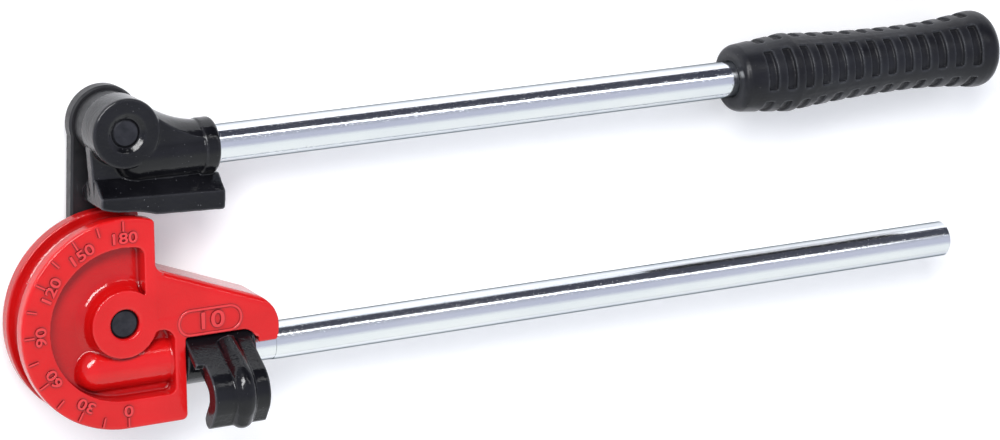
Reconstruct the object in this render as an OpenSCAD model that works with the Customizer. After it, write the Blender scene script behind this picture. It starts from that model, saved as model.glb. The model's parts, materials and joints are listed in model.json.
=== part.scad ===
// Two-handed lever tube bender with a round grooved former, a swinging hook and a flip-over lever.
// Frame: origin at the bend centre, in the middle plane of the groove. +X runs along the handles,
// +Y from the fixed handle to the lever handle, +Z along the pivot towards the marked face.

/* [Tube] */
// Diameter of the tube that the tool bends
tube_d = 10; // [8:0.5:12]
// Centre-line radius of the bend
bend_r = 40; // [38:0.5:44]
// Radial room between the tube and the grooves
tube_clear = 0.1; // [0.05:0.05:0.3]

/* [Former] */
// Height of the flanges beyond the tube's centre line
flange_h = 1.7; // [1:0.1:3]
// Thickness of the casting from face to face
former_t = 22; // [20:0.5:26]
// Thickness of the web at the bottom of the pockets
web_t = 8; // [6:0.5:10]
// Width of the scale rim, from the pocket to the flange edge
rim_w = 11.5; // [10:0.1:13]
// Rounding of the outer rim edges
rim_round = 1.1; // [0.6:0.1:2]
// Radius of the hub round the pivot
hub_r = 13.4; // [12:0.1:14.5]
// Radius of the fillet at the foot of the hub
hub_fillet = 5; // [2:0.5:6]
// Straight run of the groove from the bend centre to the right wall
exit_len = 24.5; // [23:0.5:27]
// Thickness of the right wall
wall_w = 4.5; // [3:0.5:6]
// Right edge of the upper rim
top_x = 13; // [11:0.5:15]
// Width of the upper rim's end wall
top_wall_w = 4.5; // [3:0.5:6]
// Rounding of the outline's corners
corner_r = 2.5; // [1:0.5:4]
// Rounding of the pocket's upper end
pocket_round = 4; // [2:0.5:5]
// Direction from the bend centre in which the pocket's lower right end leaves the hub
arch_turn = 45; // [40:1:50]
// Height where the arm's upper edge leaves the upper rim
arm_top_y = 20.1; // [17.5:0.1:22]
// Step from the scale's face down to the arm's face
arm_step = 0.1; // [0.05:0.05:1]
// Rounding along the arm's upper edges
arm_round = 3; // [1:0.5:4]
// Radius of the fillet where the arm leaves the upper rim
arm_fillet = 4; // [2:0.5:6]
// Place of the nose's centre along the arm
nose_x = 49.7; // [48:0.1:54]
// Height of the nose's centre
nose_y = -9.2; // [-10.5:0.1:-8]
// Radius of the nose
nose_r = 14.2; // [13:0.1:16]
// Height of the notch's ceiling above the fixed handle
ceiling_rise = 2.1; // [1.6:0.1:3]
// Depth of the nose below the notch's ceiling
nose_drop = 6; // [4:0.5:7]
// Radius of the fillet in the notch's corner
notch_fillet = 5.5; // [3:0.5:5.5]

/* [Handles] */
// Diameter of both handle tubes
handle_d = 15; // [14:0.5:16]
// Wall of both handle tubes
handle_wall = 2; // [1.5:0.5:3]
// Radial room of a handle in its socket
handle_seat = 0.02; // [0.01:0.01:0.05]
// Chamfer on the handles' open ends
handle_edge = 0.5; // [0.3:0.1:1]
// Depth ground off the fixed handle where it sits in the former and the hook turns
journal_cut = 0.25; // [0.2:0.05:0.5]
// Length of the ground seat beyond the former's nose
journal_run = 0.3; // [0.2:0.1:4]
// Distance of the fixed handle's axis below the bend centre
fixed_drop = 18.4; // [18:0.1:20]
// Depth of the fixed handle's socket from the right wall
fixed_depth = 36.5; // [30:0.5:38]
// Wall of the socket boss round the fixed handle
boss_wall = 2.1; // [1.5:0.1:2.6]
// Length of the socket inside the boss's round end
boss_cap = 2; // [1:0.5:4]
// Far end of the fixed handle
fixed_end = 385.5; // [340:0.5:420]
// Diameter of the pins that lock the handles
lock_d = 4; // [3:0.5:5]
// Wall of the rolled lock pins
lock_wall = 0.7; // [0.5:0.1:1]
// Slit along the rolled lock pins
lock_slit = 30; // [20:5:45]
// Depth of the lock pins below the surface they are driven in from
lock_sink = 0.5; // [0.2:0.1:1]
// Distance of the fixed handle's lock pin from the right wall
lock_inset = 10.5; // [8:0.5:14]

/* [Hook] */
// Outer radius of the hook's sleeve on the fixed handle
sleeve_r = 12; // [11:0.1:12.5]
// Radial running room of the sleeve on the handle
sleeve_clear = 0.08; // [0.03:0.01:0.1]
// Room between the sleeve and its notch
notch_clear = 0.4; // [0.3:0.1:0.8]
// Radial room between the tube and its seat in the hook
seat_clear = 0.3; // [0.1:0.1:0.5]
// Length of the sleeve beyond the claw
sleeve_tail = 2; // [1:0.1:3]
// Width of the claw
claw_w = 23.3; // [20:0.1:24]
// Width of the tab beside the claw
tab_w = 3.4; // [2:0.1:4]
// Length of the tab below the handle's axis
tab_len = 15.8; // [12.5:0.1:18]
// Thickness of the tab
tab_t = 3; // [2:0.5:4]
// Thickness of the claw
claw_t = 6.2; // [5:0.1:7]
// Length of the lip behind the tube's centre
lip_len = 9; // [6:0.5:11]
// Radius of the round rib along the claw
rib_r = 4.7; // [3:0.1:5]
// Height of the rib above the claw
rib_h = 2.9; // [1.5:0.1:3]
// Place of the rib across the claw, from its left end
rib_x = 13; // [10:0.5:16]
// Start of the rib below the handle's axis
rib_start = 5.6; // [5.5:0.1:8]
// Angle by which the hook stands open
hook_open = 57; // [0:1:57]

/* [Link] */
// Distance between the two pivots
link_len = 74; // [73:0.1:78]
// Width of the link's shank
link_w = 27.2; // [24:0.2:28]
// Radius of the link's round heads
link_head_r = 14.4; // [14:0.1:16]
// Thickness of the link
link_t = 6; // [4:0.5:8]
// Rounding of the link's edges
link_edge = 0.8; // [0.4:0.1:1.2]
// Angle of the link past the 180 degree mark
link_lean = 2.6; // [0:0.1:4]

/* [Pivots] */
// Radius of the former's pivot pin
pivot_r = 5.75; // [5:0.05:6.5]
// Radius of the lever's pin
lever_pin_r = 5.5; // [5:0.05:6]
// Radial running room of a pin in the link
pin_clear = 0.05; // [0.02:0.01:0.1]
// Side room between parts that turn on each other
side_clear = 0.1; // [0.1:0.05:0.3]
// Thickness of the wear washer between former and link
washer_t = 0.9; // [0.6:0.1:1.5]
// Thickness of the washers behind the link
tail_washer_t = 1.2; // [0.8:0.1:1.6]
// Width of the washers from hole to rim
washer_w = 4.5; // [4:0.5:5.5]
// Thickness of the retaining rings
ring_t = 1.2; // [0.8:0.1:1.6]
// Width of the retaining rings
ring_w = 2.8; // [2:0.1:3.2]
// Depth of the ring's groove in a pin
ring_groove = 0.6; // [0.4:0.1:0.8]
// Opening of the retaining rings
ring_gap = 50; // [30:5:80]
// Length of a pin beyond its retaining ring
pin_tail = 1.2; // [0.8:0.1:2]
// Depth of the pivot pin's front end below the marked face
pin_recess = 1.5; // [1:0.1:2.5]
// Chamfer on pins and round their holes
pin_chamfer = 0.8; // [0.4:0.1:1]

/* [Lever head] */
// Radius of the barrel round the lever's pin
barrel_r = 13.6; // [12.5:0.1:14.4]
// Rounding of the barrel's front edge
barrel_round = 1; // [0.5:0.1:1.5]
// Height of the barrel's front face above the groove's middle plane
barrel_front = 10.2; // [9:0.1:11]
// Length of the barrel
barrel_len = 12.4; // [11:0.1:14]
// Depth of the countersink in front of the lever's pin
sink_depth = 1.4; // [1:0.1:2]
// Spread of the countersink for each millimetre of its depth
sink_spread = 1.6; // [1:0.1:2]
// Distance of the lever handle's axis from the lever's pin
handle_drop = 10.5; // [10:0.1:11.5]
// Angle between the lever handle and the fixed handle
lever_lift = 0.2; // [0:0.1:1]
// Radius of the neck
neck_r = 10.2; // [9.5:0.1:10.4]
// Radius of the sweep from the neck up to the barrel
neck_sweep = 42; // [30:1:46]
// Radius of the collar at the socket's mouth
collar_r = 11; // [10.5:0.1:11.5]
// Length of the collar
collar_w = 6.2; // [5:0.1:8]
// Rounding of the collar's mouth
collar_round = 1.5; // [0.5:0.1:2]
// Distance of the socket's mouth from the lever's pin
socket_end = 38.2; // [37:0.1:42]
// Depth of the lever handle's socket
socket_depth = 23; // [18:0.5:24]
// Place of the lever handle's lock pin, from the lever's pin
lever_lock_x = 24; // [21:0.5:28]
// Width of the shoe
shoe_w = 20.4; // [19:0.2:21]
// Height of the shoe's upright sides
shoe_side = 7.35; // [6:0.1:9]
// Height of the shoe's roof above its foot
shoe_h = 13; // [12:0.1:14]
// Width of the shoe's ridge
ridge_w = 6.4; // [5:0.2:8]
// Height of the shoe's foot above the tube's centre line
shoe_lift = 2; // [1:0.1:3]
// Length of the shoe ahead of the link
shoe_front = 40.7; // [36:0.1:44]
// Length of the shoe behind the link
shoe_back = 10; // [8:0.5:11]
// Room between the shoe and the flanges
shoe_clear = 2.1; // [1:0.1:3]
// Thickness of the web from the barrel to the shoe
head_web = 4.7; // [3:0.1:6]

/* [Grip] */
// Length of the grip
grip_len = 128.5; // [110:0.5:140]
// Far end of the grip, from the lever's pin
grip_end = 400.7; // [360:0.1:430]
// Radius at the grip's mouth
grip_mouth_r = 13.8; // [13:0.1:14.5]
// Rounding of the mouth
mouth_round = 2.5; // [1:0.1:3]
// Largest radius of the grip
grip_r = 16.5; // [15:0.1:18]
// Smallest radius at the waist
waist_r = 13.9; // [13:0.1:14.5]
// Length of the tapered collar at the mouth
grip_collar = 26; // [20:1:30]
// Distance of the waist from the mouth
waist_z = 84; // [70:1:90]
// Straight stretch between the waist and the rounded end
grip_land = 2; // [1:0.5:6]
// Rounding of the grip's far end
grip_round = 6; // [3:0.5:8]
// Thickness of rubber over the tube's end
grip_cap = 4.5; // [3:0.5:6]
// Rows of slots round the grip
slot_rows = 4; // [3:1:4]
// Slots in a row
slot_count = 13; // [9:1:13]
// Distance of the first slot from the mouth
slot_start = 12.5; // [10:0.5:15]
// Distance between slots
slot_pitch = 8.55; // [7:0.05:8.6]
// Width of a slot
slot_w = 4.1; // [3:0.1:5]
// Depth of a slot
slot_depth = 1.4; // [0.5:0.1:2]
// Angle that a slot spans
slot_span = 68; // [50:1:75]
// Angle of the first row's start round the grip
slot_turn = 36; // [0:1:90]

/* [Hidden] */
$fn = 96;
// Overshoot of cutting tools
over = 1;
// Reach of cutting tools that pass right through
far = 200;
// Offset that makes a rounding tool cross its edges instead of grazing them
ease = 0.1;

groove_r = tube_d / 2 + tube_clear;
flange_r = bend_r + flange_h;
former_face = former_t / 2;
arm_face = former_face - arm_step;
pocket_r = flange_r - rim_w;
pocket_x = exit_len - wall_w;
upper_pocket_x = top_x - top_wall_w;
handle_r = handle_d / 2;
socket_r = handle_r + handle_seat;
journal_r = handle_r - journal_cut;
journal_socket_r = journal_r + handle_seat;
journal_end = nose_x + nose_r + journal_run;
boss_r = handle_r + boss_wall;
fixed_start = exit_len - fixed_depth;
lock_r = lock_d / 2;
lock_x = exit_len - lock_inset;

// Notch under the arm, where the hook's sleeve turns
ceiling_y = -fixed_drop + handle_r + ceiling_rise;
notch_end = exit_len + tab_w + claw_w + sleeve_tail + 2 * notch_clear;
nose_low = ceiling_y - nose_drop;
sleeve_start = exit_len + notch_clear;
sleeve_end = notch_end - notch_clear;
claw_start = sleeve_start + tab_w;
seat_drop = bend_r - fixed_drop;
seat_r = tube_d / 2 + seat_clear;

// Arm's upper edge, which falls from the upper rim and runs onto the nose
arm_reach = norm([nose_x - top_x, arm_top_y - nose_y]);
arm_fall = atan2(arm_top_y - nose_y, nose_x - top_x) - asin(nose_r / arm_reach);

// Stack along the pivots, from the former's rear face downwards
link_front = -former_face - washer_t - side_clear;
link_rear = link_front - link_t;
tail_front = link_rear - side_clear;
ring_front = tail_front - tail_washer_t;
ring_rear = ring_front - ring_t;
pin_end = ring_rear - pin_tail;

// Lever head, in frames turned with the link and with the lever's handle
barrel_rear = barrel_front - barrel_len;
spacer_r = barrel_r - barrel_round;
neck_start = barrel_r / 2;
foot_y = bend_r + shoe_lift;
relief_r = flange_r + shoe_clear;
heel_r = link_len - relief_r;
shoe_eaves = foot_y + shoe_side;
shoe_ridge = foot_y + shoe_h;
socket_start = socket_end - socket_depth;
lever_tube_end = grip_end - grip_cap;
grip_start = grip_end - grip_len;
grip_shoulder = grip_len - grip_round - grip_land;
grip_swell = grip_r - waist_r;

// Frames

module along_x() {
  rotate([90, 0, 90])
    children();
}

module on_fixed_axis() {
  translate([0, -fixed_drop, 0])
    children();
}

module in_link() {
  rotate(-link_lean)
    children();
}

module at_lever_pin() {
  in_link()
    translate([0, link_len, 0])
      rotate(link_lean + lever_lift)
        children();
}

module on_lever_axis() {
  at_lever_pin()
    translate([0, -handle_drop, 0])
      children();
}

// Shapes that repeat

module x_cylinder(start, end, r) {
  translate([start, 0, 0])
    rotate([0, 90, 0])
      cylinder(h = end - start, r = r);
}

module z_cylinder(low, high, r) {
  translate([0, 0, low])
    cylinder(h = high - low, r = r);
}

module corner_cutter(r) {
  difference() {
    translate([-over, -over])
      square(r + over);
    translate([r, r])
      circle(r);
  }
}

module washer(low, high, hole_r) {
  difference() {
    z_cylinder(low, high, hole_r + washer_w);
    z_cylinder(low - over, high + over, hole_r);
  }
}

module retaining_ring(pin_r) {
  inner = pin_r - ring_groove + pin_clear;
  translate([0, 0, ring_rear])
    rotate(90 + ring_gap / 2)
      rotate_extrude(angle = 360 - ring_gap)
        translate([inner, 0])
          square([ring_w, ring_t]);
}

// A plain pin with a chamfered front end and a grooved tail
module grooved_pin(front, r) {
  neck = r - ring_groove;
  rotate_extrude()
    polygon([
      [0, pin_end], [r - pin_chamfer, pin_end], [r, pin_end + pin_chamfer], [r, ring_rear], [neck, ring_rear],
      [neck, ring_front], [r, ring_front], [r, front - pin_chamfer], [r - pin_chamfer, front], [0, front]
    ]);
}

module lock_pin(depth) {
  rotate([0, 0, 90])
    translate([0, 0, -depth])
      rotate_extrude(angle = 360 - lock_slit)
        translate([lock_r - lock_wall, 0])
          square([lock_wall, depth + handle_r]);
}

module handle_tube(start, end) {
  bore_r = handle_r - handle_wall;
  along_x()
    rotate_extrude()
      polygon([
        [bore_r, start], [handle_r, start], [handle_r, end - handle_edge], [handle_r - handle_edge, end],
        [bore_r, end]
      ]);
}

// Tool that grinds the fixed handle down to its seat
module journal_grinder() {
  along_x()
    rotate_extrude()
      translate([journal_r, fixed_start - over])
        square([handle_r, journal_end - fixed_start + over]);
}

// Former

// Sharp tip between an arc and an upright edge, outside the rounding that joins them
module arc_tip(arc_r, edge_x, round_r) {
  x = edge_x - round_r + ease;
  y = sqrt(pow(arc_r - round_r + ease, 2) - x * x);
  grow = (arc_r + over) / (arc_r - round_r);
  difference() {
    polygon([[x, y], [x * grow, y * grow], [edge_x + over, y * grow], [edge_x + over, y]]);
    translate([x, y])
      circle(round_r);
  }
}

// Notch that holds the hook's sleeve, open below
module notch_outline() {
  translate([exit_len, ceiling_y - far])
    square([notch_end - exit_len - notch_fillet, far]);
  translate([exit_len, ceiling_y - notch_fillet - far])
    square([notch_end - exit_len, far]);
  translate([notch_end - notch_fillet, ceiling_y - notch_fillet])
    circle(notch_fillet);
  translate([notch_end - over, nose_low - far])
    square([far, far]);
}

// Fillet between the upper rim's end and the arm's upper edge
module arm_corner_fill() {
  half = (90 + arm_fall) / 2;
  reach = arm_fillet / tan(half);
  centre = [top_x + arm_fillet - ease, arm_top_y + reach - 3 * ease];
  low = arm_top_y - reach * sin(arm_fall) - 2 * over;
  difference() {
    polygon([[top_x - over, low], [top_x - over, arm_top_y + reach], centre, [top_x + reach * cos(arm_fall), low]]);
    translate(centre)
      circle(arm_fillet);
  }
}

module pocket_outline() {
  arch_y = -hub_r * sin(arch_turn);
  arch_r = (pocket_x - hub_r * cos(arch_turn)) / 2;
  difference() {
    union() {
      intersection() {
        circle(pocket_r);
        translate([-far, -far])
          square([far, 2 * far]);
      }
      intersection() {
        circle(pocket_r);
        difference() {
          translate([-over, 0])
            square([upper_pocket_x + over, far]);
          arc_tip(pocket_r, upper_pocket_x, pocket_round);
        }
      }
      difference() {
        translate([-over, -pocket_r])
          square([pocket_x + over, pocket_r + arch_y]);
        translate([pocket_x, -pocket_r])
          rotate(90)
            corner_cutter(corner_r);
      }
      translate([pocket_x - arch_r + ease, arch_y])
        circle(arch_r);
    }
    circle(hub_r);
  }
}

module groove_section() {
  translate([bend_r, 0])
    circle(groove_r);
  translate([bend_r, -groove_r])
    square([far, 2 * groove_r]);
}

// Half section of the disc, with the tube's groove and rounded edges
module disc_section() {
  difference() {
    translate([0, -former_face])
      square([flange_r, former_t]);
    groove_section();
    for (side = [0, 1])
      mirror([0, side])
        rim_corner();
  }
}

// Disc swept round the bend centre, then run straight out to the right wall
module disc() {
  difference() {
    rotate_extrude(angle = 270)
      disc_section();
    translate([top_x, -over, -far])
      cube([far, far, 2 * far]);
    linear_extrude(far, center = true)
      arc_tip(flange_r, top_x, corner_r);
  }
  difference() {
    along_x()
      linear_extrude(exit_len)
        mirror([1, 0])
          disc_section();
    linear_extrude(far, center = true)
      translate([exit_len, -flange_r])
        rotate(90)
          corner_cutter(corner_r);
  }
}

module rim_corner() {
  translate([flange_r, former_face])
    rotate(180)
      corner_cutter(rim_round);
}

// Side view of the arm, drawn over its upper edge, which the bar then trims
module arm_outline() {
  normal = [sin(arm_fall), cos(arm_fall)];
  difference() {
    union() {
      polygon([
        [hub_r / 2, ceiling_y - notch_fillet], [nose_x + over, ceiling_y - notch_fillet], [nose_x + over, nose_y],
        [nose_x, nose_y] + (nose_r + over) * normal, [top_x, arm_top_y + over], [hub_r / 2, arm_top_y]
      ]);
      translate([nose_x, nose_y])
        circle(nose_r);
    }
    notch_outline();
  }
}

// Section of the bar that the arm is cut from, with its upper edges rounded
module arm_section() {
  top = nose_r - ease;
  difference() {
    translate([-far, -arm_face])
      square([far + top, 2 * arm_face]);
    for (side = [0, 1])
      mirror([0, side])
        translate([top, arm_face])
          rotate(180)
            corner_cutter(arm_round);
  }
}

module arm() {
  intersection() {
    linear_extrude(former_t + 2 * over, center = true)
      arm_outline();
    translate([nose_x, nose_y, 0])
      rotate(-arm_fall)
        translate([-far, 0, 0])
          along_x()
            linear_extrude(2 * far)
              arm_section();
  }
  linear_extrude(2 * (arm_face - ease), center = true)
    arm_corner_fill();
}

module former() {
  color("firebrick")
    difference() {
      union() {
        difference() {
          union() {
            disc();
            arm();
          }
          for (side = [0, 1])
            mirror([0, 0, side])
              translate([0, 0, web_t / 2])
                linear_extrude(former_t)
                  pocket_outline();
        }
        hub_foot();
        handle_boss();
      }
      on_fixed_axis() {
        x_cylinder(fixed_start, exit_len + over, journal_socket_r);
        x_cylinder(exit_len, notch_end + over, sleeve_r + notch_clear);
        x_cylinder(notch_end - over, far, journal_socket_r);
        translate([lock_x, 0, -far])
          cylinder(h = far + handle_r, r = lock_r);
      }
      z_cylinder(-far, far, pivot_r);
      for (side = [0, 1])
        mirror([0, 0, side])
          translate([0, 0, former_face - pin_chamfer])
            cylinder(h = pin_chamfer + over, r1 = pivot_r, r2 = pivot_r + pin_chamfer + over);
    }
}

module hub_foot() {
  for (side = [0, 1])
    mirror([0, 0, side])
      rotate_extrude()
        translate([hub_r, web_t / 2])
          difference() {
            translate([-over, -over])
              square(hub_fillet + over);
            translate([hub_fillet, hub_fillet])
              circle(hub_fillet);
          }
}

// Round-ended boss over the fixed handle's socket
module handle_boss() {
  end = fixed_start + boss_cap;
  on_fixed_axis()
    translate([end, 0, 0])
      along_x()
        rotate_extrude()
          intersection() {
            translate([0, -far])
              square([far, 2 * far]);
            union() {
              circle(boss_r);
              square([boss_r, exit_len - over - end]);
            }
          }
}

// Pieces on the former's pivot

module pivot_pin() {
  color("dimgray")
    grooved_pin(former_face - pin_recess, pivot_r);
}

module pivot_washer() {
  color("silver")
    washer(-former_face - washer_t, -former_face, pivot_r + pin_clear);
}

module pivot_tail_washer() {
  color("silver")
    washer(ring_front, tail_front, pivot_r + pin_clear);
}

module pivot_ring() {
  color("dimgray")
    retaining_ring(pivot_r);
}

// Fixed handle and its lock pin

module fixed_handle() {
  color("lightsteelblue")
    on_fixed_axis()
      difference() {
        handle_tube(fixed_start, fixed_end);
        journal_grinder();
        translate([lock_x, 0, -far])
          cylinder(h = far + handle_r, r = lock_r);
      }
}

module fixed_lock_pin() {
  color("dimgray")
    on_fixed_axis()
      translate([lock_x, 0, 0])
        lock_pin(boss_r - lock_sink);
}

// Hook, drawn closed round the tube and swung open

module claw_section() {
  outer_r = seat_r + claw_t;
  difference() {
    union() {
      translate([-seat_drop, 0])
        square([seat_drop, outer_r]);
      translate([-seat_drop, 0])
        circle(outer_r);
    }
    translate([-seat_drop, 0])
      circle(seat_r);
    translate([-seat_drop, -far])
      square([far, far + seat_r]);
    translate([-seat_drop - seat_r, -far])
      square([far, far]);
    translate([-far, -far])
      square([2 * far, far]);
  }
  translate([-seat_drop - outer_r, claw_t / 2 - lip_len])
    square([claw_t, lip_len - claw_t / 2 + over]);
  translate([-seat_drop - seat_r - claw_t / 2, claw_t / 2 - lip_len])
    circle(claw_t / 2);
}

module claw_rib() {
  path_r = seat_r + claw_t + rib_h - rib_r;
  translate([-rib_start, path_r, 0])
    rotate([0, -90, 0])
      cylinder(h = seat_drop - rib_start, r = rib_r);
  translate([-seat_drop, 0, 0])
    rotate(90)
      rotate_extrude(angle = 90)
        translate([path_r, 0])
          circle(rib_r);
  translate([-seat_drop - path_r, rib_r - lip_len, 0])
    rotate([-90, 0, 0])
      cylinder(h = lip_len - rib_r, r = rib_r);
  translate([-seat_drop - path_r, rib_r - lip_len, 0])
    sphere(rib_r);
}

module hook() {
  color("black")
    on_fixed_axis()
      rotate([-hook_open, 0, 0])
        difference() {
          union() {
            x_cylinder(sleeve_start, sleeve_end, sleeve_r);
            along_x()
              translate([0, 0, claw_start])
                linear_extrude(claw_w)
                  claw_section();
            along_x()
              translate([0, 0, claw_start + rib_x])
                claw_rib();
            along_x()
              translate([0, 0, sleeve_start])
                linear_extrude(tab_w + over)
                  translate([-tab_len, seat_r + claw_t - tab_t])
                    square([tab_len, tab_t]);
          }
          x_cylinder(sleeve_start - over, sleeve_end + over, journal_r + sleeve_clear);
          along_x()
            translate([-seat_drop, 0, 0])
              cylinder(h = far, r = seat_r);
        }
}

// Link

// Half section of the link's bar and heads, with broken edges
module link_section(half_w) {
  polygon([
    [0, link_rear], [half_w - link_edge, link_rear], [half_w, link_rear + link_edge],
    [half_w, link_front - link_edge], [half_w - link_edge, link_front], [0, link_front]
  ]);
}

module link_plate() {
  color("dimgray")
    in_link()
      difference() {
        union() {
          for (y = [0, link_len])
            translate([0, y, 0])
              rotate_extrude()
                link_section(link_head_r);
          translate([0, link_len, 0])
            rotate([90, 0, 0])
              linear_extrude(link_len)
                for (side = [0, 1])
                  mirror([side, 0])
                    link_section(link_w / 2);
        }
        z_cylinder(-far, far, pivot_r + pin_clear);
        translate([0, link_len, 0])
          z_cylinder(-far, far, lever_pin_r + pin_clear);
      }
}

// Lever head and the pieces on its pin

module shoe_section() {
  polygon([
    [foot_y, -shoe_w / 2], [shoe_eaves, -shoe_w / 2], [shoe_ridge, -ridge_w / 2],
    [shoe_ridge, ridge_w / 2], [shoe_eaves, shoe_w / 2], [foot_y, shoe_w / 2]
  ]);
}

// Side view of the shoe: a heel turned about the lever's pin, so that it clears the flanges
module shoe_outline() {
  difference() {
    union() {
      intersection() {
        translate([-shoe_back, foot_y])
          square([shoe_back + over, shoe_h]);
        translate([0, link_len])
          circle(heel_r);
      }
      translate([0, foot_y])
        square([shoe_front, shoe_h]);
    }
    circle(relief_r);
    translate([shoe_front, foot_y])
      rotate(90)
        corner_cutter(corner_r / 2);
  }
}

module shoe() {
  intersection() {
    along_x()
      translate([0, 0, -shoe_back])
        linear_extrude(shoe_back + shoe_front)
          shoe_section();
    linear_extrude(far, center = true)
      shoe_outline();
  }
}

module head_web_plate() {
  translate([0, 0, barrel_rear])
    linear_extrude(head_web)
      polygon([
        [over - barrel_r, link_len], [-shoe_back, shoe_eaves - over], [shoe_front / 2, shoe_eaves - over],
        [shoe_front / 2, link_len - handle_drop], [0, link_len]
      ]);
}

module barrel() {
  rotate_extrude()
    difference() {
      translate([0, barrel_rear])
        square([barrel_r, barrel_len]);
      translate([barrel_r, barrel_front])
        rotate(180)
          corner_cutter(barrel_round);
    }
}

// Neck swept up to meet the barrel's side, no wider than the neck itself
module neck_flare() {
  centre_y = neck_sweep + neck_r - handle_drop;
  centre_x = sqrt(pow(neck_sweep + barrel_r, 2) - centre_y * centre_y);
  meet_x = centre_x * barrel_r / (neck_sweep + barrel_r);
  flare_end = socket_end - collar_w;
  intersection() {
    along_x()
      rotate_extrude()
        difference() {
          square([2 * barrel_r, flare_end]);
          translate([neck_r + neck_sweep, centre_x])
            circle(neck_sweep, $fn = 180);
        }
    translate([meet_x, 0, barrel_rear])
      cube([flare_end - meet_x, far, barrel_front - barrel_round - barrel_rear]);
  }
}

module collar() {
  along_x()
    translate([0, 0, socket_end - collar_w])
      rotate_extrude()
        difference() {
          square([collar_r, collar_w]);
          translate([collar_r, collar_w])
            rotate(180)
              corner_cutter(collar_round);
        }
}

module lever_head() {
  color("black")
    difference() {
      union() {
        in_link() {
          shoe();
          head_web_plate();
        }
        at_lever_pin()
          barrel();
        on_lever_axis() {
          x_cylinder(neck_start, socket_end - over, neck_r);
          translate([neck_start, 0, 0])
            sphere(neck_r);
          collar();
          neck_flare();
        }
      }
      in_link()
        x_cylinder_at_tube();
      on_lever_axis() {
        x_cylinder(socket_start, socket_end + over, socket_r);
        translate([lever_lock_x, 0, -far])
          cylinder(h = far + handle_r, r = lock_r);
      }
      at_lever_pin() {
        z_cylinder(-far, barrel_rear, spacer_r + side_clear);
        z_cylinder(-far, far, lever_pin_r);
        translate([0, 0, barrel_front - sink_depth])
          cylinder(h = sink_depth + over, r1 = lever_pin_r, r2 = lever_pin_r + sink_spread * (sink_depth + over));
      }
    }
}

module x_cylinder_at_tube() {
  translate([0, bend_r, 0])
    x_cylinder(-far, far, groove_r);
}

module lever_pin() {
  color("dimgray")
    at_lever_pin()
      grooved_pin(barrel_front - sink_depth, lever_pin_r);
}

module lever_spacer() {
  color("dimgray")
    at_lever_pin()
      difference() {
        z_cylinder(link_front + side_clear, barrel_rear, spacer_r);
        z_cylinder(-far, far, lever_pin_r + pin_clear);
      }
}

module lever_tail_washer() {
  color("silver")
    at_lever_pin()
      washer(ring_front, tail_front, lever_pin_r + pin_clear);
}

module lever_ring() {
  color("dimgray")
    at_lever_pin()
      retaining_ring(lever_pin_r);
}

// Lever handle, its lock pin and its grip

module lever_handle() {
  color("lightsteelblue")
    on_lever_axis()
      difference() {
        handle_tube(socket_start, lever_tube_end);
        translate([lever_lock_x, 0, -far])
          cylinder(h = far + handle_r, r = lock_r);
      }
}

module lever_lock_pin() {
  color("dimgray")
    on_lever_axis()
      translate([lever_lock_x, 0, 0])
        lock_pin(neck_r - lock_sink);
}

// Half section of the grip, whose waist is hollowed by one sweep from each side
module grip_section() {
  difference() {
    polygon([
      [0, 0], [grip_mouth_r, 0], [grip_r, grip_collar], [grip_r, grip_len], [0, grip_len]
    ]);
    waist_sweep(waist_z - grip_collar, -1);
    waist_sweep(grip_shoulder - waist_z, 1);
    translate([grip_r, grip_len])
      rotate(180)
        corner_cutter(grip_round);
    translate([grip_mouth_r, 0])
      rotate(90)
        corner_cutter(mouth_round);
  }
}

// Hollow from the waist to a swelling, on the side of the mouth or of the far end
module waist_sweep(run, side) {
  sweep = (run * run + grip_swell * grip_swell) / (2 * grip_swell);
  translate([waist_r, waist_z])
    intersection() {
      translate([sweep, 0])
        circle(sweep, $fn = 720);
      translate([-over, side < 0 ? -far : 0])
        square([far, far]);
    }
}

// Radius of the grip's surface at a distance from the mouth
function grip_surface(z) =
  z < grip_collar ? grip_mouth_r + (grip_r - grip_mouth_r) * z / grip_collar :
  z < waist_z ? waist_r + grip_swell * pow((waist_z - z) / (waist_z - grip_collar), 2) :
  min(grip_r, waist_r + grip_swell * pow((z - waist_z) / (grip_shoulder - waist_z), 2));

module grip_slots() {
  for (i = [0 : slot_count - 1], row = [0 : slot_rows - 1])
    let (z = slot_start + i * slot_pitch)
      rotate(slot_turn + row * 360 / slot_rows)
        rotate_extrude(angle = slot_span)
          translate([grip_surface(z) - slot_depth, z - slot_w / 2])
            square([grip_r, slot_w]);
}

module grip() {
  color("black")
    on_lever_axis()
      along_x()
        translate([0, 0, grip_start])
          difference() {
            rotate_extrude()
              grip_section();
            grip_slots();
            translate([0, 0, -over])
              cylinder(h = grip_len - grip_cap + over, r = socket_r);
          }
}

former();
pivot_pin();
pivot_washer();
pivot_tail_washer();
pivot_ring();
fixed_handle();
fixed_lock_pin();
hook();
link_plate();
lever_head();
lever_pin();
lever_spacer();
lever_tail_washer();
lever_ring();
lever_handle();
lever_lock_pin();
grip();
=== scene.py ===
"""Looks of the two-handed tube bender: finishes, softened castings, marks, floor, light and camera."""
import json
import math

import bmesh
import bpy
from mathutils import Matrix, Vector


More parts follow.
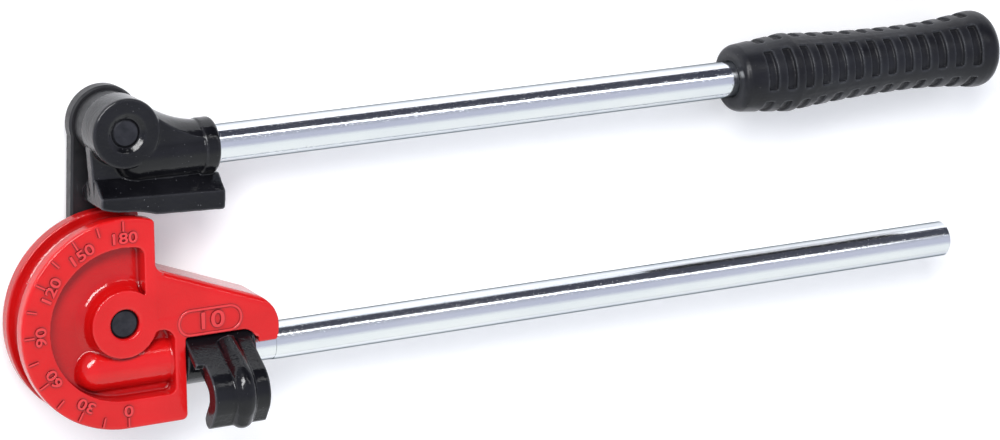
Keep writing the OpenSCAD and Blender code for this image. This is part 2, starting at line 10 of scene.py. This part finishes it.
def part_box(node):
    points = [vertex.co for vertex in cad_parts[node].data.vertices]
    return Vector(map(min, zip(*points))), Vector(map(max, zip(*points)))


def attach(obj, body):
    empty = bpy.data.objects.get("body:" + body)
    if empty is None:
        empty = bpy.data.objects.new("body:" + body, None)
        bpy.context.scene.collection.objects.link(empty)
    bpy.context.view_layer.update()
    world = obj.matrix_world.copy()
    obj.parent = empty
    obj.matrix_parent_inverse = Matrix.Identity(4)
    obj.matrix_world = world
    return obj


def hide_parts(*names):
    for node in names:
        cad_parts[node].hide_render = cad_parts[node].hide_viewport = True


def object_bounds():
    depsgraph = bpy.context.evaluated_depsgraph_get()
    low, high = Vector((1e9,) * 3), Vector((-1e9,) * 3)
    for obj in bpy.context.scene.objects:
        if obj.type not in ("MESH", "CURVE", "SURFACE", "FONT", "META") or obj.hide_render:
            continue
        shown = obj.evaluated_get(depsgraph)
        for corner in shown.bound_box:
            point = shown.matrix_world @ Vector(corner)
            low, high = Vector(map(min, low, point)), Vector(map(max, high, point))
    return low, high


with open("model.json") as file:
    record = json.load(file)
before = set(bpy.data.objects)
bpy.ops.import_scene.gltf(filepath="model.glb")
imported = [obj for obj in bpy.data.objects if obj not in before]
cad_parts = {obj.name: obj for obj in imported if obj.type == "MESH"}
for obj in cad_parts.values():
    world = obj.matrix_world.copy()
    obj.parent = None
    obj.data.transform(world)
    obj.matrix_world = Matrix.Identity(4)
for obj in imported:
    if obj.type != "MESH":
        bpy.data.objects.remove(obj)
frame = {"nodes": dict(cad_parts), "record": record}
cad_low, cad_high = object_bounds()
nodes = frame["nodes"]
record = frame["record"]
scene = bpy.context.scene

MM = 0.001

# Places read from the frame
marked_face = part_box("former")[1].z
rim_radius = -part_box("former")[0].x
floor_level = cad_low.z

# Camera, fitted to the photograph
CAMERA_PLACE = Vector((-0.45084, 0.36460, 1.15457))
CAMERA_RIGHT = Vector((0.8814, -0.0020, 0.4724))
CAMERA_UP = Vector((0.1227, 0.9666, -0.2249))
CAMERA_LENS = 120.72
SENSOR_WIDTH = 36.0

# Castings and mouldings with softened edges: voxel size and smoothing passes
SOFT_NODES = {
    "former": (0.45 * MM, 3),
    "hook": (0.35 * MM, 3),
    "lever_head": (0.35 * MM, 3),
    "grip": (0.4 * MM, 2),
}
SMOOTH_FACTOR = 0.5

# Heights between which the former's enamel turns from its recess tone, which is painted shade, to its
# face tone
RECESS_SHADE_LEVEL = marked_face - 5.5 * MM
FACE_TONE_LEVEL = marked_face - 2.5 * MM

# Rays that feel for a corner or an edge from one point
FEELER_RAYS = 8

# Marks on the former
MARK_HEIGHT = 0.6 * MM
MARK_EDGE = 0.09 * MM
TICK_STEP = 15
TICK_COUNT = 13
TICK_OUTER = rim_radius - 0.9 * MM
TICK_LENGTH = 4.0 * MM
TICK_WIDTH = 0.7 * MM
NUMBER_STEP = 30
NUMBER_SIZE = 5.9 * MM
NUMBER_RADIUS = rim_radius - 7.7 * MM
LABEL_FIGURES = "10"
LABEL_PLACE = Vector((34.75 * MM, -3.1 * MM, marked_face - 0.1 * MM))
LABEL_LENGTH = 26.0 * MM
LABEL_WIDTH = 9.8 * MM
LABEL_SIZE = 9.4 * MM
LABEL_END_STEPS = 24
FIGURE_SPREAD = 1.3

# Floor
FLOOR_SIZE = 20.0
FLOOR_LIFT = 0.2

# Lamps, aimed from one distance at a point between the handles, near the former
LAMP_AIM = Vector((0.1, 0.03, 0.0))
LAMP_DISTANCE = 1.65
KEY_DIRECTION = Vector((-0.40, 0.56, 0.73))
KEY_SIZE = (1.3, 0.36)
KEY_POWER = 27.0
STRIP_DIRECTION = Vector((0.456, 0.572, 0.682))
STRIP_SIZE = (0.9, 0.16)
STRIP_POWER = 1.5

# Room, with its tones from behind the tool to in front of it, and the dark opening behind it
ROOM_AXIS = Vector((0.0, -1.0, 0.0))
ROOM_REACH = (-1.0, 1.0)
ROOM_TONES = (
    (0.0, (0.40, 0.42, 0.50)),
    (0.28, (0.42, 0.44, 0.52)),
    (0.42, (0.55, 0.57, 0.69)),
    (0.57, (0.55, 0.57, 0.69)),
    (0.73, (0.90, 0.94, 0.95)),
    (1.0, (0.97, 1.0, 1.0)),
)
OPENING_AXIS = Vector((0.456, 0.825, 0.333))
OPENING_REACH = (0.85, 0.91)
OPENING_TONES = (
    (0.0, (1.0, 1.0, 1.0)),
    (1.0, (0.16, 0.16, 0.18)),
)


def set_stops(node, stops):
    """Give a colour ramp its stops, each a position with a colour or a grey."""
    points = node.color_ramp.elements
    while len(points) < len(stops):
        points.new(0.5)
    for point, (position, colour) in zip(points, stops):
        point.position = position
        point.color = (*colour, 1.0) if isinstance(colour, tuple) else (colour, colour, colour, 1.0)


def in_use(sockets):
    """The sockets that a mix node keeps for its kind of data."""
    return [socket for socket in sockets if socket.enabled]


class Shader:
    """A node material with one surface shader, and short helpers to wire it.

    Keywords of set and feed name the shader's sockets, with underscores for spaces.
    """

    def __init__(self, name):
        self.material = bpy.data.materials.new(name)
        self.material.use_nodes = True
        self.tree = self.material.node_tree
        self.surface = self.tree.nodes["Principled BSDF"]
        self.place = self.add("ShaderNodeTexCoord").outputs["Object"]

    def add(self, kind, **settings):
        node = self.tree.nodes.new(kind)
        for key, value in settings.items():
            setattr(node, key, value)
        return node

    def link(self, output, socket):
        self.tree.links.new(output, socket)

    def give(self, socket, value):
        """Link an output to a socket, or write a colour or a number on it."""
        if isinstance(value, bpy.types.NodeSocket):
            self.link(value, socket)
        elif isinstance(value, tuple):
            socket.default_value = (*value, 1.0)
        else:
            socket.default_value = value

    def set(self, **values):
        """Values that are the same all over the surface."""
        for key, value in values.items():
            self.surface.inputs[key.replace("_", " ")].default_value = value

    def feed(self, **outputs):
        """Values that vary over the surface."""
        for key, output in outputs.items():
            self.link(output, self.surface.inputs[key.replace("_", " ")])

    def stretched(self, scale):
        """Coordinates that draw a pattern out along the axes with a small scale."""
        mapping = self.add("ShaderNodeMapping")
        mapping.inputs["Scale"].default_value = scale
        self.link(self.place, mapping.inputs["Vector"])
        return mapping.outputs["Vector"]

    def noise(self, scale, detail, roughness=0.5, vector=None):
        node = self.add("ShaderNodeTexNoise")
        node.inputs["Scale"].default_value = scale
        node.inputs["Detail"].default_value = detail
        node.inputs["Roughness"].default_value = roughness
        self.link(vector or self.place, node.inputs["Vector"])
        return node.outputs["Fac"]

    def ramp(self, value, *stops):
        node = self.add("ShaderNodeValToRGB")
        set_stops(node, stops)
        self.link(value, node.inputs["Fac"])
        return node.outputs["Color"]

    def mix(self, factor, low, high):
        node = self.add("ShaderNodeMix", data_type="RGBA")
        for socket, value in zip(in_use(node.inputs), (factor, low, high)):
            self.give(socket, value)
        return in_use(node.outputs)[0]

    def math(self, operation, first, second, clamp=False):
        node = self.add("ShaderNodeMath", operation=operation, use_clamp=clamp)
        self.give(node.inputs[0], first)
        self.give(node.inputs[1], second)
        return node.outputs["Value"]

    def bump(self, height, distance, strength, normal=None):
        node = self.add("ShaderNodeBump")
        node.inputs["Distance"].default_value = distance
        node.inputs["Strength"].default_value = strength
        self.link(height, node.inputs["Height"])
        if normal:
            self.link(normal, node.inputs["Normal"])
        return node.outputs["Normal"]

    def corners(self, distance, low, high):
        """Factor that is full in inner corners, where painted shade goes."""
        node = self.add("ShaderNodeAmbientOcclusion", samples=FEELER_RAYS)
        node.inputs["Distance"].default_value = distance
        return self.ramp(node.outputs["AO"], (low, 1.0), (high, 0.0))

    def edges(self, distance, low, high, most):
        """Factor that rises to its most on outer edges, for a paler edge that is a painted highlight, and
        on the black enamel partly wear too.
        """
        node = self.add("ShaderNodeAmbientOcclusion", samples=FEELER_RAYS, inside=True)
        node.inputs["Distance"].default_value = distance
        return self.ramp(node.outputs["AO"], (low, most), (high, 0.0))

    def level(self, low, high):
        """Factor that rises from 0 at one height to 1 at another."""
        split = self.add("ShaderNodeSeparateXYZ")
        self.link(self.place, split.inputs["Vector"])
        spread = self.add("ShaderNodeMapRange")
        spread.inputs["From Min"].default_value = low
        spread.inputs["From Max"].default_value = high
        self.link(split.outputs["Z"], spread.inputs["Value"])
        return spread.outputs["Result"]


def red_enamel():
    """Glossy enamel, with painted shade that darkens it in the recess below the face and in inner
    corners, and a paler painted highlight on outer edges.
    """
    look = Shader("red_enamel")
    # Paler red for a painted highlight on outer edges
    edge_highlight = (0.86, 0.12, 0.13)
    # Dark red painted shade for inner corners
    corner_shade = (0.17, 0.001, 0.002)
    clouds = look.noise(45.0, detail=4.0)
    face = look.ramp(clouds, (0.3, (0.57, 0.005, 0.005)), (0.7, (0.67, 0.008, 0.009)))
    # Recess tone: painted shade, darker than the face tone
    recess_shade = look.ramp(clouds, (0.3, (0.42, 0.004, 0.004)), (0.7, (0.53, 0.006, 0.007)))
    tone = look.mix(look.level(RECESS_SHADE_LEVEL, FACE_TONE_LEVEL), recess_shade, face)
    edge_lit = look.mix(look.edges(0.9 * MM, low=0.62, high=0.92, most=0.3), tone, edge_highlight)
    waves = look.bump(look.noise(140.0, detail=2.0), 0.4 * MM, strength=0.35)
    look.feed(
        Base_Color=look.mix(look.corners(1.8 * MM, low=0.58, high=0.96), edge_lit, corner_shade),
        Roughness=look.ramp(look.noise(160.0, detail=5.0), (0.35, 0.07), (0.7, 0.15)),
        Normal=look.bump(look.noise(1100.0, detail=2.0), 0.09 * MM, strength=0.7, normal=waves),
    )
    return look.material


def black_enamel():
    """Glossy black enamel over a cast skin, with specks of dust, and edges paled partly by wear and
    partly by a painted highlight.
    """
    look = Shader("black_enamel")
    look.set(Specular_IOR_Level=0.38)
    grey = (0.10, 0.10, 0.11)
    speck = (0.16, 0.16, 0.17)
    clouds = look.noise(60.0, detail=4.0)
    tone = look.ramp(clouds, (0.35, (0.003, 0.003, 0.004)), (0.7, (0.007, 0.007, 0.009)))
    # Grey on outer edges: partly wear, partly a painted highlight
    edge_lit = look.mix(look.edges(1.0 * MM, low=0.66, high=0.93, most=0.8), tone, grey)
    dust = look.ramp(look.noise(1500.0, detail=1.0), (0.76, 0.0), (0.80, 1.0))
    waves = look.bump(look.noise(110.0, detail=2.0), 0.6 * MM, strength=0.4)
    look.feed(
        Base_Color=look.mix(dust, edge_lit, speck),
        Roughness=look.ramp(look.noise(220.0, detail=5.0), (0.35, 0.09), (0.7, 0.20)),
        Normal=look.bump(look.noise(800.0, detail=2.0), 0.12 * MM, strength=0.7, normal=waves),
    )
    return look.material


def satin_paint():
    """Thin satin paint on rolled bar, with scuffs along the bar."""
    look = Shader("satin_paint")
    scuffed = (0.10, 0.10, 0.11)
    clouds = look.noise(70.0, detail=4.0)
    tone = look.ramp(clouds, (0.3, (0.008, 0.008, 0.009)), (0.7, (0.017, 0.017, 0.019)))
    streaks = look.noise(90.0, detail=8.0, roughness=0.7, vector=look.stretched((6.0, 0.6, 6.0)))
    look.feed(
        Base_Color=look.mix(look.ramp(streaks, (0.62, 0.0), (0.72, 0.35)), tone, scuffed),
        Roughness=look.ramp(look.noise(300.0, detail=4.0), (0.3, 0.34), (0.7, 0.5)),
        Normal=look.bump(look.noise(800.0, detail=2.0), 0.08 * MM, strength=0.5),
    )
    return look.material


def bright_plate():
    """Bright plating on drawn tube, with fine spangle and smudges, darker at a glancing angle."""
    look = Shader("bright_plate")
    look.set(Metallic=1.0, Specular_Tint=(0.03, 0.06, 0.07, 1.0))
    dull = (0.19, 0.19, 0.19)
    drawn = look.noise(320.0, detail=3.0, roughness=0.6, vector=look.stretched((0.02, 1.0, 1.0)))
    smudge = look.noise(28.0, detail=6.0, roughness=0.65, vector=look.stretched((0.35, 1.0, 1.0)))
    spangle = look.ramp(look.noise(1500.0, detail=1.0, roughness=0.6), (0.58, 0.0), (0.74, 1.0))
    lines = look.bump(drawn, 0.05 * MM, strength=0.5)
    look.feed(
        Base_Color=look.ramp(smudge, (0.3, (0.82, 0.85, 0.89)), (0.7, (0.92, 0.94, 0.95))),
        Roughness=look.mix(spangle, look.ramp(smudge, (0.3, 0.07), (0.75, 0.15)), dull),
        Normal=look.bump(spangle, 0.04 * MM, strength=0.5, normal=lines),
    )
    return look.material


def dark_steel():
    """Blackened steel of the pins and retaining rings."""
    look = Shader("dark_steel")
    look.set(Metallic=0.75)
    mottle = look.noise(260.0, detail=5.0)
    look.feed(
        Base_Color=look.ramp(mottle, (0.3, (0.025, 0.026, 0.031)), (0.7, (0.050, 0.050, 0.058))),
        Roughness=look.ramp(look.noise(400.0, detail=4.0), (0.3, 0.30), (0.7, 0.46)),
        Normal=look.bump(look.noise(900.0, detail=3.0), 0.08 * MM, strength=0.5),
    )
    return look.material


def plain_steel():
    """Bare steel of the washers."""
    look = Shader("plain_steel")
    look.set(Metallic=1.0)
    mottle = look.noise(180.0, detail=5.0)
    look.feed(
        Base_Color=look.ramp(mottle, (0.3, (0.42, 0.42, 0.43)), (0.7, (0.58, 0.58, 0.59))),
        Roughness=look.ramp(look.noise(500.0, detail=4.0), (0.3, 0.26), (0.7, 0.42)),
        Normal=look.bump(look.noise(1200.0, detail=3.0), 0.05 * MM, strength=0.5),
    )
    return look.material


def grip_rubber():
    """Moulded rubber with a faint bloom and lint, a grey painted highlight on its outer edges, and dull
    slot floors darkened by painted shade.
    """
    look = Shader("grip_rubber")
    look.set(Specular_IOR_Level=0.28)
    # Near-black painted shade for the slot floors
    black = (0.001, 0.001, 0.001)
    grey = (0.10, 0.105, 0.115)
    thread = (0.16, 0.16, 0.15)
    matt = (0.95, 0.95, 0.95)
    clouds = look.noise(55.0, detail=6.0, roughness=0.6)
    bloom = look.ramp(clouds, (0.35, (0.006, 0.006, 0.008)), (0.75, (0.016, 0.017, 0.022)))
    # Slot floors: painted shade in the colour, and matt in the roughness
    shaded_slots = look.corners(4.0 * MM, low=0.45, high=0.86)
    lands = look.mix(shaded_slots, bloom, black)
    # Grey painted highlight on outer edges
    skin = look.mix(look.edges(1.2 * MM, low=0.66, high=0.94, most=0.5), lands, grey)
    lint = look.ramp(look.noise(1300.0, detail=1.0), (0.77, 0.0), (0.80, 0.6))
    sheen = look.ramp(look.noise(200.0, detail=4.0), (0.3, 0.28), (0.7, 0.44))
    waves = look.bump(look.noise(180.0, detail=2.0), 0.4 * MM, strength=0.3)
    look.feed(
        Base_Color=look.mix(lint, skin, thread),
        Roughness=look.mix(shaded_slots, sheen, matt),
        Normal=look.bump(look.noise(1600.0, detail=3.0), 0.08 * MM, strength=0.5, normal=waves),
    )
    return look.material


MATERIALS = {
    "red_paint": red_enamel(),
    "black_paint": black_enamel(),
    "link_paint": satin_paint(),
    "plated_tube": bright_plate(),
    "pin_steel": dark_steel(),
    "washer_steel": plain_steel(),
    "grip_rubber": grip_rubber(),
}
SLOT_OF = {part["node"]: part["material_slot"] for part in record["subparts"]}
BODY_OF = {node: body for body, group in record["behaviour"]["bodies"].items() for node in group}


def paint(piece, slot):
    piece.data.materials.clear()
    piece.data.materials.append(MATERIALS[slot])


def add_piece(name, mesh, body, slot):
    piece = bpy.data.objects.new(name, mesh)
    scene.collection.objects.link(piece)
    paint(piece, slot)
    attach(piece, body)
    return piece


def finished_mesh(work):
    """The mesh that a work object's modifiers or curve settings give. The work object goes."""
    scene.collection.objects.link(work)
    view = work.evaluated_get(bpy.context.evaluated_depsgraph_get())
    mesh = bpy.data.meshes.new_from_object(view)
    bpy.data.objects.remove(work)
    return mesh


def add_softened(node, voxel, passes):
    """A copy of a cast or moulded node with its edges rounded off, as foundry and mould leave them."""
    work = bpy.data.objects.new(node + "_work", nodes[node].data.copy())
    remesh = work.modifiers.new("remesh", "REMESH")
    remesh.mode = "VOXEL"
    remesh.voxel_size = voxel
    smooth = work.modifiers.new("smooth", "SMOOTH")
    smooth.factor = SMOOTH_FACTOR
    smooth.iterations = passes
    mesh = finished_mesh(work)
    for face in mesh.polygons:
        face.use_smooth = True
    piece = add_piece(node + "_soft", mesh, BODY_OF[node], SLOT_OF[node])
    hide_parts(node)


def scale_angle(mark):
    """Direction of a mark on the scale, whose zero is below the bend centre."""
    return math.radians(-90 - mark)


def text_mesh(words, size):
    """Raised figures with soft edges, standing out of the face they are set on."""
    curve = bpy.data.curves.new("figures", "FONT")
    curve.body = words
    curve.size = size
    curve.align_x = "CENTER"
    curve.align_y = "CENTER"
    curve.offset = MARK_EDGE / 2
    curve.extrude = MARK_HEIGHT - MARK_EDGE
    curve.bevel_depth = MARK_EDGE
    curve.bevel_resolution = 2
    mesh = finished_mesh(bpy.data.objects.new("figures", curve))
    mesh.transform(Matrix.Diagonal((FIGURE_SPREAD, 1.0, 1.0, 1.0)))
    return mesh


def tick_mesh():
    form = bmesh.new()
    bmesh.ops.create_cube(form, size=1.0)
    bmesh.ops.scale(form, vec=(TICK_LENGTH, TICK_WIDTH, 2 * MARK_HEIGHT), verts=form.verts)
    bmesh.ops.bevel(form, geom=form.edges[:], offset=MARK_EDGE, segments=3, profile=0.5, affect="EDGES")
    mesh = bpy.data.meshes.new("tick")
    form.to_mesh(mesh)
    form.free()
    return mesh


def frame_mesh():
    """Raised round-ended frame, swept along a closed path."""
    curve = bpy.data.curves.new("frame", "CURVE")
    curve.dimensions = "3D"
    curve.bevel_depth = MARK_HEIGHT
    curve.bevel_resolution = 4
    radius = LABEL_WIDTH / 2
    half = LABEL_LENGTH / 2 - radius
    points = []
    for side, start in ((1, -90), (-1, 90)):
        for step in range(LABEL_END_STEPS + 1):
            angle = math.radians(start + 180 * step / LABEL_END_STEPS)
            points.append((side * half + radius * math.cos(angle), radius * math.sin(angle), 0.0))
    spline = curve.splines.new("POLY")
    spline.points.add(len(points) - 1)
    for point, place in zip(spline.points, points):
        point.co = (*place, 1.0)
    spline.use_cyclic_u = True
    return finished_mesh(bpy.data.objects.new("frame", curve))


def joined(name, placed):
    """One mesh from several, each set in its place."""
    form = bmesh.new()
    for mesh, place in placed:
        part = mesh.copy()
        part.transform(place)
        form.from_mesh(part)
        bpy.data.meshes.remove(part)
    mesh = bpy.data.meshes.new(name)
    form.to_mesh(mesh)
    form.free()
    return mesh


def scale_marks():
    placed = []
    tick = tick_mesh()
    for index in range(TICK_COUNT):
        turn = Matrix.Rotation(scale_angle(index * TICK_STEP), 4, "Z")
        middle = Matrix.Translation((TICK_OUTER - TICK_LENGTH / 2, 0, marked_face))
        placed.append((tick, turn @ middle))
    upright = Matrix.Rotation(math.radians(-90), 4, "Z")
    for mark in range(0, TICK_STEP * TICK_COUNT, NUMBER_STEP):
        turn = Matrix.Rotation(scale_angle(mark), 4, "Z")
        middle = Matrix.Translation((NUMBER_RADIUS, 0, marked_face))
        placed.append((text_mesh(str(mark), NUMBER_SIZE), turn @ middle @ upright))
    return joined("scale_marks", placed)


def size_label():
    place = Matrix.Translation(LABEL_PLACE)
    return joined("size_label", [(frame_mesh(), place), (text_mesh(LABEL_FIGURES, LABEL_SIZE), place)])


def floor_material():
    """Matt white paper, lifted a little for the rays that see it as the background."""
    look = Shader("pale_floor")
    look.set(Roughness=0.9, Emission_Color=(1.0, 1.0, 1.0, 1.0))
    path = look.add("ShaderNodeLightPath").outputs
    direct_or_mirrored = look.math("ADD", path["Is Camera Ray"], path["Is Glossy Ray"])
    seen = look.math("ADD", direct_or_mirrored, path["Is Transmission Ray"], clamp=True)
    look.feed(
        Base_Color=look.ramp(look.noise(3.0, detail=2.0), (0.3, 0.91), (0.7, 0.93)),
        Emission_Strength=look.math("MULTIPLY", seen, FLOOR_LIFT),
    )
    return look.material


def add_floor():
    form = bmesh.new()
    bmesh.ops.create_grid(form, x_segments=1, y_segments=1, size=FLOOR_SIZE / 2)
    mesh = bpy.data.meshes.new("floor")
    form.to_mesh(mesh)
    form.free()
    mesh.materials.append(floor_material())
    floor = bpy.data.objects.new("floor", mesh)
    floor.location = (0, 0, floor_level)
    scene.collection.objects.link(floor)


def add_lamp(name, direction, size, power):
    data = bpy.data.lights.new(name, "AREA")
    data.shape = "RECTANGLE"
    data.size, data.size_y = size
    data.energy = power
    lamp = bpy.data.objects.new(name, data)
    lamp.location = LAMP_AIM + LAMP_DISTANCE * direction.normalized()
    lamp.rotation_euler = (-direction).to_track_quat("-Z", "Y").to_euler()
    scene.collection.objects.link(lamp)


def room_tone(tree, axis, reach, tones):
    """Colour that changes with how far a ray points along an axis."""
    place = tree.nodes.new("ShaderNodeTexCoord")
    along = tree.nodes.new("ShaderNodeVectorMath")
    along.operation = "DOT_PRODUCT"
    along.inputs[1].default_value = axis.normalized()
    spread = tree.nodes.new("ShaderNodeMapRange")
    for socket, value in zip(("From Min", "From Max"), reach):
        spread.inputs[socket].default_value = value
    ramp = tree.nodes.new("ShaderNodeValToRGB")
    set_stops(ramp, tones)
    tree.links.new(place.outputs["Generated"], along.inputs[0])
    tree.links.new(along.outputs["Value"], spread.inputs["Value"])
    tree.links.new(spread.outputs["Result"], ramp.inputs["Fac"])
    return ramp.outputs["Color"]


def add_world():
    """Soft white room, brightest in front of the tool, with a dark opening that bright metal picks up."""
    world = bpy.data.worlds.new("studio")
    scene.world = world
    world.use_nodes = True
    tree = world.node_tree
    product = tree.nodes.new("ShaderNodeMix")
    product.data_type = "RGBA"
    product.blend_type = "MULTIPLY"
    factor, room, opening = in_use(product.inputs)
    factor.default_value = 1.0
    tree.links.new(room_tone(tree, ROOM_AXIS, ROOM_REACH, ROOM_TONES), room)
    tree.links.new(room_tone(tree, OPENING_AXIS, OPENING_REACH, OPENING_TONES), opening)
    background = tree.nodes["Background"]
    background.inputs["Strength"].default_value = 1.0
    tree.links.new(in_use(product.outputs)[0], background.inputs["Color"])


def add_camera():
    data = bpy.data.cameras.new("camera")
    data.lens = CAMERA_LENS
    data.sensor_fit = "HORIZONTAL"
    data.sensor_width = SENSOR_WIDTH
    camera = bpy.data.objects.new("camera", data)
    back = CAMERA_RIGHT.cross(CAMERA_UP)
    axes = Matrix((CAMERA_RIGHT, CAMERA_UP, back)).transposed().to_4x4()
    camera.matrix_world = Matrix.Translation(CAMERA_PLACE) @ axes
    scene.collection.objects.link(camera)
    scene.camera = camera


for node_name, (voxel_size, smooth_passes) in SOFT_NODES.items():
    add_softened(node_name, voxel_size, smooth_passes)
for node_name, node_object in nodes.items():
    paint(node_object, SLOT_OF[node_name])
add_piece("scale_marks", scale_marks(), "former", "red_paint")
add_piece("size_label", size_label(), "former", "red_paint")

add_floor()
add_lamp("key", KEY_DIRECTION, KEY_SIZE, KEY_POWER)
add_lamp("strip", STRIP_DIRECTION, STRIP_SIZE, STRIP_POWER)
add_world()
add_camera()
scene.view_settings.view_transform = "Standard"
